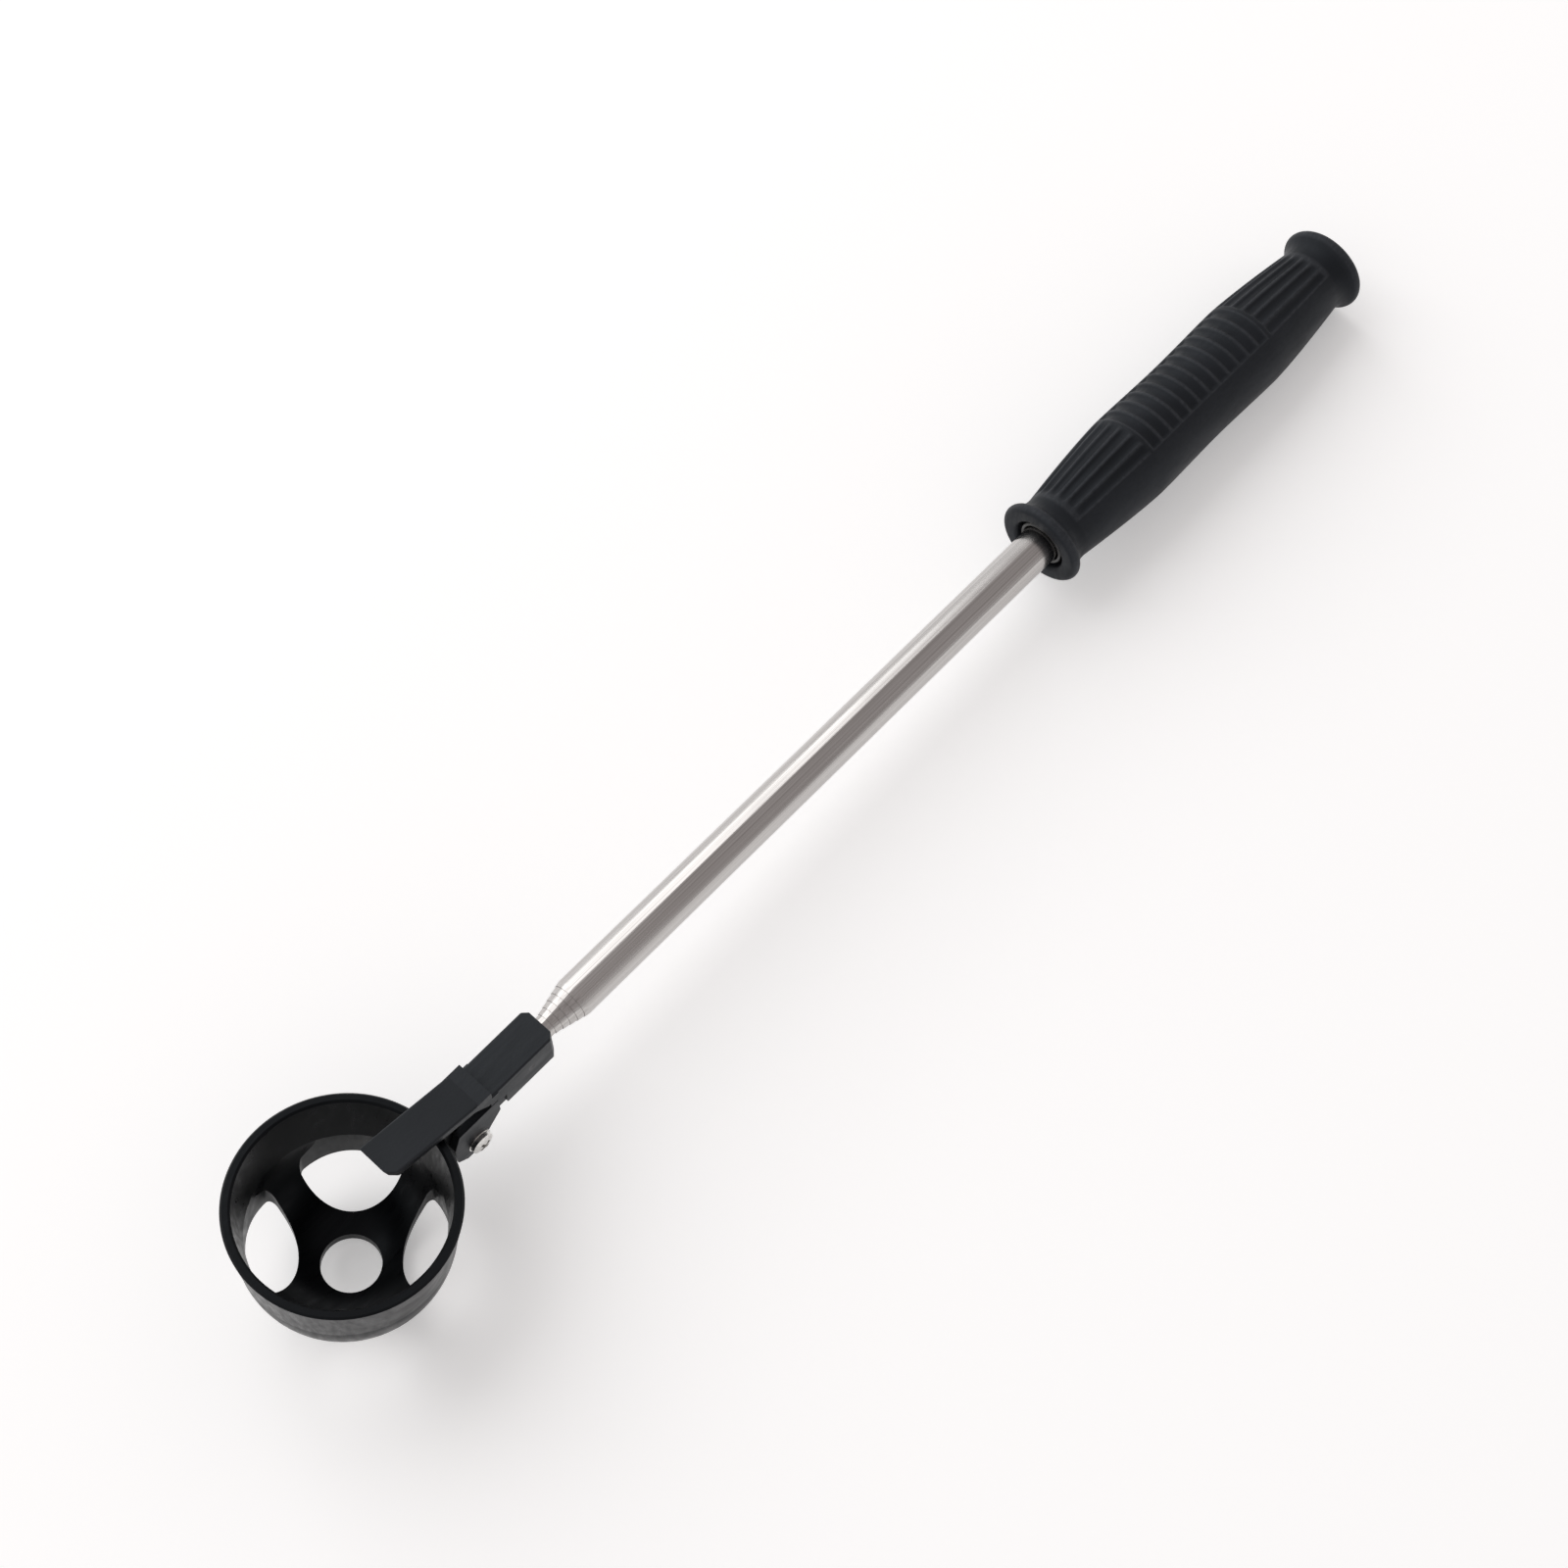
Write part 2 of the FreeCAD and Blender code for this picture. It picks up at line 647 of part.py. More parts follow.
# ---------------------------------------------------------------- pivot hardware
def along_y(label, corners):
    """A body turned about the pivot; corners are (radius, position along Y) expressions."""
    body = new_body(label)
    sketch = outline(new_sketch(body, "YZ_Plane", "Profile_" + label), [
        (place, f"{radius} - pivot_drop") for radius, place in corners])
    sketch.setExpression("AttachmentOffset.Base.z", bound("-pivot_out"))
    made = body.newObject("PartDesign::Revolution", "Turn_" + label)
    made.Profile = sketch
    line = sketch.addGeometry(Part.LineSegment(Vector(-20, -SIZES["pivot_drop"], 0),
                                               Vector(20, -SIZES["pivot_drop"], 0)), True)
    sketch.addConstraint(Sketcher.Constraint("Horizontal", line))
    at = sketch.addConstraint(
        Sketcher.Constraint("DistanceY", -1, 1, line, 1, -SIZES["pivot_drop"]))
    sketch.setExpression(f"Constraints[{at}]", bound("-pivot_drop"))
    made.ReferenceAxis = (sketch, ["Axis0"])
    made.Angle = 360
    return body


half_fork = "(fork_width / 2)"
head_seat = f"({half_fork} + washer_thick)"
along_y("pivot_screw", [
    ("0", f"-{head_seat} - head_height"),
    ("head_dia * 0.3", f"-{head_seat} - head_height"),
    ("head_dia * 0.43", f"-{head_seat} - head_height * 0.8"),
    ("head_dia / 2", f"-{head_seat} - head_height * 0.35"),
    ("head_dia / 2", f"-{head_seat}"),
    ("screw_dia / 2", f"-{head_seat}"),
    ("screw_dia / 2", f"{half_fork} + nut_height + 0.6"),
    ("0", f"{half_fork} + nut_height + 0.6"),
])
along_y("pivot_washer", [
    ("screw_dia / 2", f"-{head_seat}"), ("washer_dia / 2", f"-{head_seat}"),
    ("washer_dia / 2", f"-{half_fork}"), ("screw_dia / 2", f"-{half_fork}"),
])
along_y("pivot_sleeve", [
    ("screw_dia / 2", "-fork_slot / 2"), ("screw_dia / 2 + sleeve_wall", "-fork_slot / 2"),
    ("screw_dia / 2 + sleeve_wall", "fork_slot / 2"), ("screw_dia / 2", "fork_slot / 2"),
])


def pivot_nut():
    """A hexagon nut on the far cheek."""
    prism = primitive("Part::Prism", "Nut_prism", Circumradius="nut_flats / sqrt(3)",
                      Height="nut_height")
    prism.Polygon = 6
    hole = primitive("Part::Cylinder", "Nut_hole", Radius="screw_dia / 2",
                     Height="nut_height")
    made = cut("Nut", prism, hole)
    made.Placement.Rotation = Rotation(Vector(1, 0, 0), -90)
    tie(made, Placement__Base__x="-pivot_out", Placement__Base__z="-pivot_drop",
        Placement__Base__y=half_fork)
    return made


node(pivot_nut(), "pivot_nut")


def torsion_spring():
    """A coil round the sleeve; one leg bears on the bracket, the other on the cup."""
    wire = number("wire_dia") / 2
    coil_rad = number("screw_dia / 2 + sleeve_wall + coil_gap + wire_dia / 2")
    pitch = number("wire_dia") * 1.02
    room = number("fork_slot - 2 * ear_gap - 2 * ear_wall - wire_dia")
    turns = min(number("coil_turns"), room // pitch)
    pivot = Vector(-number("pivot_out"), 0, -number("pivot_drop"))
    foot_on_bracket = Vector(-number("block_len + slot_root") - 1.6 * wire, 0,
                             -number("block_low") * 0.5)
    foot_on_cup = Vector(-number("cup_out") + number("cup_rad") + 2.2, 0,
                         pivot.z - 2 * coil_rad)

    def tangent_start(foot, sense):
        """Angle about the pivot, in the XZ plane, where the leg to the foot leaves."""
        away = foot - pivot
        return math.atan2(away.z, away.x) - sense * math.acos(coil_rad / away.Length)

    def on_coil(angle, along):
        return pivot + Vector(coil_rad * math.cos(angle), along, coil_rad * math.sin(angle))

    start = tangent_start(foot_on_bracket, 1)
    finish = tangent_start(foot_on_cup, -1)
    # whole turns, then on to the second leg, counted the way the first leg arrives
    sweep = (start - finish) % (2 * math.pi) + 2 * math.pi * (int(turns) - 1)
    height = pitch * sweep / (2 * math.pi)
    helix = Part.makeHelix(pitch, height, coil_rad)
    profile = Part.Wire(Part.makeCircle(wire, Vector(coil_rad, 0, 0), Vector(0, 1, 0)))
    coil = Part.Wire(helix.Edges).makePipeShell([profile], True, True)
    # helix axis Z to Y, first end at the start angle
    coil.rotate(Vector(), Vector(1, 0, 0), 90)
    coil.rotate(Vector(), Vector(0, 1, 0), -math.degrees(start))
    coil.translate(pivot + Vector(0, height / 2, 0))
    legs = []
    for foot, angle, along in ((foot_on_bracket, start, height / 2),
                               (foot_on_cup, start - sweep, -height / 2)):
        root = on_coil(angle, along)
        run = foot + Vector(0, along, 0) - root
        legs.append(Part.makeCylinder(wire, run.Length, root, run))
    made = doc.addObject("Part::Feature", "Torsion_spring")
    made.Shape = coil.multiFuse(legs)
    return made


node(torsion_spring(), "torsion_spring")


# ---------------------------------------------------------------- laying the tool down
def lay_down():
    """The placement that rests the cup and the grip's rear rim on Z = 0."""
    tilt = math.radians(number("cup_tilt"))
    down = Vector(-math.sin(tilt), 0, -math.cos(tilt))
    centre = Vector(-number("cup_out"), 0, number("cup_up")) + down * number("cup_straight")
    foot = number("cup_foot")
    # the bowl rests on the edge of its base hole, on the side towards the grip
    lean = math.asin(number("base_hole / 2") / foot) - tilt
    heel = centre + Vector(math.sin(lean), 0, -math.cos(lean)) * foot
    rim = Vector(number("grip_at + grip_len - rim_width / 2"), 0, -number("rim_rad"))
    slope = math.atan2(rim.z - heel.z, rim.x - heel.x)
    turn = Rotation(Vector(0, 1, 0), math.degrees(slope))
    box = FreeCAD.BoundBox()
    for piece in NODES:
        turned_shape = piece.Shape.copy()
        turned_shape.rotate(Vector(), Vector(0, 1, 0), math.degrees(slope))
        box.add(turned_shape.optimalBoundingBox(False, False))
    shift = Vector(-(box.XMin + box.XMax) / 2, -(box.YMin + box.YMax) / 2, -box.ZMin)
    return Placement(shift, turn)


tie(cup, Placement__Base__x="-cup_out", Placement__Base__z="cup_up")
cup.setExpression("Placement.Rotation.Angle", bound("cup_tilt"))
cup.Placement.Rotation = Rotation(Vector(0, 1, 0), SIZES["cup_tilt"])
doc.recompute()

for thing in doc.Objects:
    if "Invalid" in thing.State or "Error" in thing.State:
        raise RuntimeError(f"{thing.Name} ({thing.Label}): {thing.State}")

lay = lay_down()
os.makedirs("parts", exist_ok=True)
for piece in NODES:
    for prop, _ in piece.ExpressionEngine:
        if "Placement" in prop:
            piece.setExpression(prop, None)
    piece.Placement = lay.multiply(piece.Placement)
doc.recompute()
for piece in NODES:
    shape = piece.Shape
    if shape.isNull() or not shape.isValid() or shape.Volume <= 0 or len(shape.Solids) != 1:
        raise RuntimeError(f"{piece.Label}: bad shape, {len(shape.Solids)} solids")
    shape.exportStep(f"parts/{piece.Label}.step")
print(f"{len(NODES)} pieces, laid down by {lay}")
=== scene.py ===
# %% [markdown]
# # Finishing a telescopic golf ball retriever
#
# The retriever is a thin steel pole of six nested tubes.  A rubber grip sits on one end, and a
# plastic cup on a small bracket sits on the other.  The solid model of every piece is already
# made, so the frame is loaded first and never moved.  This file adds what a solid model lacks:
# the moulded detail of the grip, the screw's recess, and a real finish on every surface.

# %% Load the fixed frame
import json
import math

import bmesh
import bpy
from mathutils import Matrix, Vector


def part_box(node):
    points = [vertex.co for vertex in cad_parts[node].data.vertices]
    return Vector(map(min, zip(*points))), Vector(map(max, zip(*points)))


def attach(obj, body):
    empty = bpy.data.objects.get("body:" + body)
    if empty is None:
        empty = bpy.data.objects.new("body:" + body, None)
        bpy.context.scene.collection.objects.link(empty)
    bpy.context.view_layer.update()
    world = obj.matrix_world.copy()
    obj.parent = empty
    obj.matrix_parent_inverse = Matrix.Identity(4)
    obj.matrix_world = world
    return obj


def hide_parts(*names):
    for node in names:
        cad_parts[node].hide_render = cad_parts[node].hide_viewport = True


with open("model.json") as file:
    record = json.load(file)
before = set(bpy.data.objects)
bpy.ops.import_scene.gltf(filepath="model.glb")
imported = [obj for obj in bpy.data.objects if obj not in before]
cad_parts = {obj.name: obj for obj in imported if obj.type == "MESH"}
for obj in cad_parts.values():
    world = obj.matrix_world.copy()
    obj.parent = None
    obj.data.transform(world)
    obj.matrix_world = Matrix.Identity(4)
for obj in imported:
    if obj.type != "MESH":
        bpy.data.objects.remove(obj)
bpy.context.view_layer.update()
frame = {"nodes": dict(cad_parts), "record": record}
NODES = frame["nodes"]

# %% [markdown]
# ## The handle's own axes
#
# The pole lies slightly out of level, because the tool rests on its cup and on the grip's rim.
# Every round piece is easier to make on a level axis, so one matrix takes a piece from the
# handle's own axes to its place.  The matrix could be typed in, but the record already says
# where the middle of the grip's end is and which way it faces, so it is read from there.

# %% From the handle's axes to the frame
MM = 0.001
GRIP_END = next(m for m in frame["record"]["mounts"] if m["name"] == "grip_end")
ALONG = Vector(GRIP_END["axis"]).normalized()
ACROSS = Vector((0, 1, 0))
HANDLE = Matrix((ALONG, ACROSS, ALONG.cross(ACROSS))).transposed().to_4x4()
HANDLE.translation = Vector(GRIP_END["pos_m"])
LEAN = -math.asin(ALONG.z)
print("the pole leans by", round(math.degrees(LEAN), 2), "degrees")

# %% [markdown]
# ## Camera
#
# The camera looks steeply down on the tool, with the cup near and low and the grip far and
# high.  A camera could be aimed with a constraint, but three plain directions say the same and
# can be read at a glance: what is right of the camera, what is above it and what is behind it.

# %% Camera
CAMERA_AT = Vector((-0.20386, -0.19295, 0.61367))
CAMERA_RIGHT = Vector((0.67715, -0.73514, -0.03232))
CAMERA_UP = Vector((0.67956, 0.60790, 0.41069))
CAMERA_BACK = Vector((-0.28226, -0.30006, 0.91120))

lens = bpy.data.cameras.new("studio_camera")
lens.sensor_width = 36.0
lens.lens = 61.38
lens.clip_start = 0.01
lens.shift_x, lens.shift_y = 0.0016, 0.0012
camera = bpy.data.objects.new("studio_camera", lens)
bpy.context.scene.collection.objects.link(camera)
camera.matrix_world = (Matrix.Translation(CAMERA_AT)
                       @ Matrix((CAMERA_RIGHT, CAMERA_UP, CAMERA_BACK)).transposed().to_4x4())
bpy.context.scene.camera = camera
print("camera", round(CAMERA_AT.length, 3), "m from the middle of the tool")

# %% [markdown]
# ## Floor and light
#
# Polished steel shows nothing but its surroundings, so the room matters as much as the metal.
# The floor is plain and almost white.  The sky is bright low on the far side and darker
# overhead, which draws the long dark band down the middle of the pole.  One large soft light on
# the far side gives the pole its bright edge and the rubber its sheen.  A lamp on the near side
# would fill the shadows, but the pole would mirror it as a hard white stripe, so the floor glows
# faintly instead.

# %% Floor
FLOOR_REACH = 30.0
FLOOR_GLOW = 0.28

room = bmesh.new()
bmesh.ops.create_grid(room, x_segments=1, y_segments=1, size=FLOOR_REACH)
floor_mesh = bpy.data.meshes.new("floor")
room.to_mesh(floor_mesh)
room.free()
floor = bpy.data.objects.new("floor", floor_mesh)
bpy.context.scene.collection.objects.link(floor)
floor_paint = bpy.data.materials.new("floor_paint")
floor_paint.use_nodes = True
floor_shader = floor_paint.node_tree.nodes["Principled BSDF"]
floor_shader.inputs["Base Color"].default_value = (0.93, 0.93, 0.93, 1.0)
floor_shader.inputs["Roughness"].default_value = 0.9
floor_shader.inputs["Specular IOR Level"].default_value = 0.1
floor_shader.inputs["Emission Color"].default_value = (1.0, 1.0, 1.0, 1.0)
floor_shader.inputs["Emission Strength"].default_value = FLOOR_GLOW
floor_mesh.materials.append(floor_paint)
print("the floor reaches", FLOOR_REACH, "m each way")


# %% Sky and lights
def soft_light(name, place, size, power):
    """A square panel of light at that place, facing the middle of the tool."""
    panel = bpy.data.lights.new(name, "AREA")
    panel.shape = "SQUARE"
    panel.size = size
    panel.energy = power
    made = bpy.data.objects.new(name, panel)
    bpy.context.scene.collection.objects.link(made)
    made.location = place
    made.rotation_euler = Vector(place).to_track_quat("Z", "Y").to_euler()


soft_light("far_light", place=(-0.05, 1.5, 1.5), size=2.2, power=20.0)

SKY_STRENGTH = 0.95
SKY_DARK = (0.42, 0.39, 0.385, 1.0)
SKY_BRIGHT = (1.0, 1.0, 1.0, 1.0)
TOWARDS_DARK = (0.2, -0.45, 0.87)
FADE_FROM, FADE_TO = -0.25, 0.85
sky = bpy.data.worlds.new("studio")
bpy.context.scene.world = sky
sky.use_nodes = True
sky_nodes, sky_links = sky.node_tree.nodes, sky.node_tree.links
where = sky_nodes.new("ShaderNodeTexCoord")
toward = sky_nodes.new("ShaderNodeVectorMath")
toward.operation = "DOT_PRODUCT"
toward.inputs[1].default_value = TOWARDS_DARK
stretch = sky_nodes.new("ShaderNodeMapRange")
stretch.inputs["From Min"].default_value = FADE_FROM
stretch.inputs["From Max"].default_value = FADE_TO
fade = sky_nodes.new("ShaderNodeValToRGB")
fade.color_ramp.elements[0].color = SKY_BRIGHT
fade.color_ramp.elements[1].color = SKY_DARK
sky_links.new(where.outputs["Generated"], toward.inputs[0])
sky_links.new(toward.outputs["Value"], stretch.inputs["Value"])
sky_links.new(stretch.outputs["Result"], fade.inputs["Fac"])
sky_links.new(fade.outputs["Color"], sky_nodes["Background"].inputs["Color"])
sky_nodes["Background"].inputs["Strength"].default_value = SKY_STRENGTH
bpy.context.scene.view_settings.view_transform = "Standard"

# %% [markdown]
# ## How the finishes are built
#
# A flat colour looks like a toy.  Real finishes change a little from place to place: moulded
# plastic has a fine grain, drawn tube has lines along it, and hands polish what they touch.
# Photographs of such surfaces could be wrapped round the pieces, but patterns made from noise
# have no seams and hold at any size.  Four small helpers cover every finish here: one starts a
# material, one makes grain of a stated size in metres, one turns grain into a range of values,
# and one turns it into relief.


# %% Helpers for finishes
def finish(name, **values):
    """A new material; the values go straight on the shader's own sockets."""
    made = bpy.data.materials.new(name)
    made.use_nodes = True
    shader = made.node_tree.nodes["Principled BSDF"]
    for socket, value in values.items():
        shader.inputs[socket.replace("_", " ")].default_value = value
    return made


def grain(made, size, detail=3.0):
    """Noise whose grains have that size, in metres: along the handle, across it, and up."""
    nodes, links = made.node_tree.nodes, made.node_tree.links
    where = nodes.new("ShaderNodeTexCoord")
    fit = nodes.new("ShaderNodeMapping")
    fit.vector_type = "TEXTURE"
    fit.inputs["Location"].default_value = HANDLE.translation
    fit.inputs["Rotation"].default_value = (0.0, LEAN, 0.0)
    fit.inputs["Scale"].default_value = size
    noise = nodes.new("ShaderNodeTexNoise")
    noise.inputs["Scale"].default_value = 1.0
    noise.inputs["Detail"].default_value = detail
    links.new(where.outputs["Object"], fit.inputs["Vector"])
    links.new(fit.outputs["Vector"], noise.inputs["Vector"])
    return noise.outputs["Fac"]


def shade(made, source, low, high, socket, at=(0.35, 0.65)):
    """Let a pattern run a socket of the shader from one value to another."""
    nodes, links = made.node_tree.nodes, made.node_tree.links
    ramp = nodes.new("ShaderNodeValToRGB")
    for stop, place, value in zip(ramp.color_ramp.elements, at, (low, high)):
        stop.position = place
        stop.color = value if isinstance(value, tuple) else (value, value, value, 1.0)
    links.new(source, ramp.inputs["Fac"])
    links.new(ramp.outputs["Color"], nodes["Principled BSDF"].inputs[socket])


def relief(made, source, depth, strength=1.0):
    """Add relief of that depth in metres on top of the relief there already is."""
    nodes, links = made.node_tree.nodes, made.node_tree.links
    target = nodes["Principled BSDF"].inputs["Normal"]
    bump = nodes.new("ShaderNodeBump")
    bump.inputs["Strength"].default_value = strength
    bump.inputs["Distance"].default_value = depth
    if target.is_linked:
        links.new(target.links[0].from_socket, bump.inputs["Normal"])
    links.new(source, bump.inputs["Height"])
    links.new(bump.outputs["Normal"], target)


# %% [markdown]
# ## Metals
#
# Stainless tube is drawn through a die, which leaves hair lines along it, and handling leaves
# soft smudges.  Both change the roughness far more than the colour.  The brass collars and the
# zinc plated screw are built the same way, with shorter grains and their own colour.

# %% Pole steel
pole_steel = finish("pole_steel", Metallic=1.0)
draw_lines = grain(pole_steel, (0.12, 0.00035, 0.00035), 5.0)
smudges = grain(pole_steel, (0.03, 0.012, 0.012), 4.0)
shade(pole_steel, draw_lines, (0.45, 0.43, 0.418, 1.0), (0.60, 0.585, 0.573, 1.0), "Base Color")
shade(pole_steel, smudges, 0.13, 0.27, "Roughness")
relief(pole_steel, draw_lines, 0.00001, 0.5)
print(pole_steel.name, "has", len(pole_steel.node_tree.nodes), "shader nodes")


# %% Small metal pieces
DULLER = 0.16


def small_metal(name, dark, light, rough):
    """A plated or turned metal: fine specks in the colour, dull and bright patches."""
    made = finish(name, Metallic=1.0)
    specks = grain(made, (0.0006, 0.0004, 0.0004), 5.0)
    patches = grain(made, (0.003, 0.002, 0.002), 3.0)
    shade(made, specks, dark, light, "Base Color")
    shade(made, patches, rough, rough + DULLER, "Roughness")
    relief(made, specks, 0.000015, 0.6)
    return made


fastener_steel = small_metal("fastener_steel", (0.60, 0.59, 0.57, 1), (0.80, 0.79, 0.77, 1), 0.16)
spring_steel = small_metal("spring_steel", (0.30, 0.30, 0.31, 1), (0.46, 0.46, 0.47, 1), 0.24)
dark_steel = small_metal("dark_steel", (0.035, 0.036, 0.038, 1), (0.06, 0.06, 0.062, 1), 0.38)
brass = small_metal("brass", (0.62, 0.44, 0.20, 1), (0.78, 0.60, 0.30, 1), 0.20)
print("metals:", pole_steel.name, fastener_steel.name, spring_steel.name, brass.name)


# %% [markdown]
# ## Plastics and rubber
#
# The bracket comes from a mould with a fine spark-eroded texture, so it looks dull.  The cup's
# mould is polished, so the cup keeps a soft gloss and shows faint flow marks and scuffs from
# balls.  The rubber is dull, and its raised edges are painted paler in patches, partly as dust
# and rubbed wear and partly as a painted highlight; the sleeve's mesh carries a value for that,
# because only the mesh knows which edges stand up.


# %% Moulded finishes
RUBBED_DULLER = 0.12
COOL_SHEEN = (0.84, 0.92, 1.0, 1.0)


def moulded(name, dark, light, rough, grain_size, depth):
    """Moulded plastic: cloudy colour, grain from the mould, and patches rubbed dull or bright."""
    made = finish(name)
    clouds = grain(made, (0.02, 0.012, 0.012), 4.0)
    mould = grain(made, (grain_size,) * 3, 2.0)
    rubbed = grain(made, (0.010, 0.0012, 0.004), 5.0)
    shade(made, clouds, dark, light, "Base Color")
    shade(made, rubbed, rough, rough + RUBBED_DULLER, "Roughness")
    relief(made, mould, depth, 0.8)
    return made


head_plastic = moulded("head_plastic", (0.0072, 0.0080, 0.0095, 1), (0.0105, 0.0114, 0.0135, 1),
                       0.44, 0.0005, 0.00004)
cup_plastic = moulded("cup_plastic", (0.0010, 0.0011, 0.0014, 1), (0.0022, 0.0024, 0.0030, 1),
                      0.27, 0.0007, 0.0000016)
core_plastic = moulded("core_plastic", (0.003, 0.003, 0.0034, 1), (0.006, 0.006, 0.0068, 1), 0.22,
                       0.0006, 0.00001)
cap_plastic = moulded("cap_plastic", (0.002, 0.002, 0.0024, 1), (0.004, 0.004, 0.0048, 1), 0.42,
                      0.0005, 0.00003)
for made, level in ((head_plastic, 0.40), (cup_plastic, 0.15), (cap_plastic, 0.35)):
    sockets = made.node_tree.nodes["Principled BSDF"].inputs
    sockets["Specular IOR Level"].default_value = level
    sockets["Specular Tint"].default_value = COOL_SHEEN

# %% Grip rubber
RUBBER_SHEEN = 0.12
# The paler colour for the ridge crests is partly dust and rubbed wear and partly a painted
# highlight.
CREST_WEAR_AND_HIGHLIGHT = (0.050, 0.053, 0.060, 1.0)

grip_rubber = moulded("grip_rubber", (0.0130, 0.0145, 0.0172, 1), (0.0180, 0.0200, 0.0238, 1),
                      0.44, 0.00045, 0.00004)
nodes, links = grip_rubber.node_tree.nodes, grip_rubber.node_tree.links
nodes["Principled BSDF"].inputs["Specular IOR Level"].default_value = RUBBER_SHEEN
nodes["Principled BSDF"].inputs["Specular Tint"].default_value = COOL_SHEEN
# Mix the paler crest colour in where the mesh marks a crest, in patches: dust, rubbed wear and a
# painted highlight together.
crest = nodes.new("ShaderNodeAttribute")
crest.attribute_name = "crest"
dust_and_highlight_patches = grain(grip_rubber, (0.0012, 0.0009, 0.0009), 5.0)
crest_wear_and_highlight_mask = nodes.new("ShaderNodeMath")
crest_wear_and_highlight_mask.operation = "MULTIPLY"
links.new(crest.outputs["Fac"], crest_wear_and_highlight_mask.inputs[0])
links.new(dust_and_highlight_patches, crest_wear_and_highlight_mask.inputs[1])
crest_wear_and_highlight = nodes.new("ShaderNodeMix")
crest_wear_and_highlight.data_type = "RGBA"
crest_wear_and_highlight.inputs["B"].default_value = CREST_WEAR_AND_HIGHLIGHT
links.new(crest_wear_and_highlight_mask.outputs["Value"], crest_wear_and_highlight.inputs["Factor"])
base = nodes["Principled BSDF"].inputs["Base Color"]
links.new(base.links[0].from_socket, crest_wear_and_highlight.inputs["A"])
links.new(crest_wear_and_highlight.outputs["Result"], base)
print("mouldings:", [m.name for m in (head_plastic, cup_plastic, core_plastic, cap_plastic,
                                      grip_rubber)])

# %% [markdown]
# ## Finishes on the solid pieces
#
# A solid piece whose shape is right only needs its finish.  Each one came in with a plain
# material, and the finish takes that material's slot.

# %% Dress the solid pieces
FINISHES = {
    "section_": pole_steel, "collar_": brass, "tip_plug": core_plastic,
    "grip_core": core_plastic, "grip_cap": cap_plastic, "head_bracket": head_plastic,
    "cross_pin": dark_steel, "cup": cup_plastic, "pivot_screw": fastener_steel,
    "pivot_washer": fastener_steel, "pivot_sleeve": brass, "pivot_nut": fastener_steel,
    "torsion_spring": spring_steel, "grip": grip_rubber,
}
for name, piece in NODES.items():
    start = max((s for s in FINISHES if name.startswith(s)), key=len)
    for holder in piece.material_slots:
        holder.material = FINISHES[start]
    print(name, "->", FINISHES[start].name)


# %% [markdown]
# ## Turned pieces
#
# A lathe shape starts as one line of points beside the axis.  Spinning it closes the shape.
# The same result could come from a curve with a Screw modifier, but the operator leaves an
# ordinary mesh whose points can still be pressed in, which the grip needs.


# %% Helpers for new pieces
GRIP_LEN = 119.4


def spun(line, steps):
    """Spin a closed outline, given in millimetres from the grip's front, round the axis."""
    shell = bmesh.new()
    points = [shell.verts.new(((along - GRIP_LEN) * MM, 0.0, radius * MM))
              for along, radius in line]
    edges = [shell.edges.new(pair) for pair in zip(points, points[1:] + points[:1])]
    bmesh.ops.spin(shell, geom=points + edges, cent=(0, 0, 0), axis=(1, 0, 0),
                   angle=2 * math.pi, steps=steps, use_merge=True)
    return shell


def finished(shell, name, paint, place, sharp=40.0):
    """Close the mesh, face it outwards, put it in place and make it an object."""
    bmesh.ops.remove_doubles(shell, verts=shell.verts, dist=1e-6)
    bmesh.ops.recalc_face_normals(shell, faces=shell.faces)
    shell.transform(place)
    mesh = bpy.data.meshes.new(name)
    shell.to_mesh(mesh)
    shell.free()
    mesh.shade_smooth()
    mesh.set_sharp_from_angle(angle=math.radians(sharp))
    mesh.materials.append(paint)
    piece = bpy.data.objects.new(name, mesh)
    bpy.context.scene.collection.objects.link(piece)
    print(name, "has", len(mesh.polygons), "faces")
    return piece


# %% [markdown]
# ## Grip sleeve
#
# The sleeve is one rubber moulding: a rounded rim at each end, a neck, a long swelling with
# ribs along it, and a ringed waist where the fingers close.  Its outline is a line of points
# that holds the rims and the plain skin.  Ribs and rings could be drawn into that line too, but
# they don't go all the way round, so they are pressed in after the spin.  Sizes here are in
# millimetres from the sleeve's front face.

# %% Sizes of the sleeve
RIM_RADIUS = 12.1
RIM_HALF = 1.6
RIM_TURN = 130
NECK = (7.5, 9.8)
BELLY = (36.0, 12.45)
BULGE = 1.35
WAIST = 12.05
BORE = 7.4
RECESS = 5.0
CAP_LEN = 8.0
RINGS = 12
RIBS = 22
RIB_DEPTH = 0.65
RIB_SPAN = (8.0, 35.0)
RIB_RUN_IN, RIB_RUN_OUT = 4.0, 0.9
RIB_SHARPNESS = 1.9
PANEL_TURN = math.radians(74)
PANEL_HALF = math.radians(50)
PANEL_EDGE = math.radians(5)
STEP, FINE_STEP, FINE_MARGIN = 0.85, 0.36, 1.5
print("a sleeve of", GRIP_LEN, "mm with", RINGS, "rings and", RIBS, "ribs to a full turn")


def smooth(value):
    """Ease a value from 0 to 1 in and out."""
    value = min(max(value, 0.0), 1.0)
    return value * value * (3 - 2 * value)


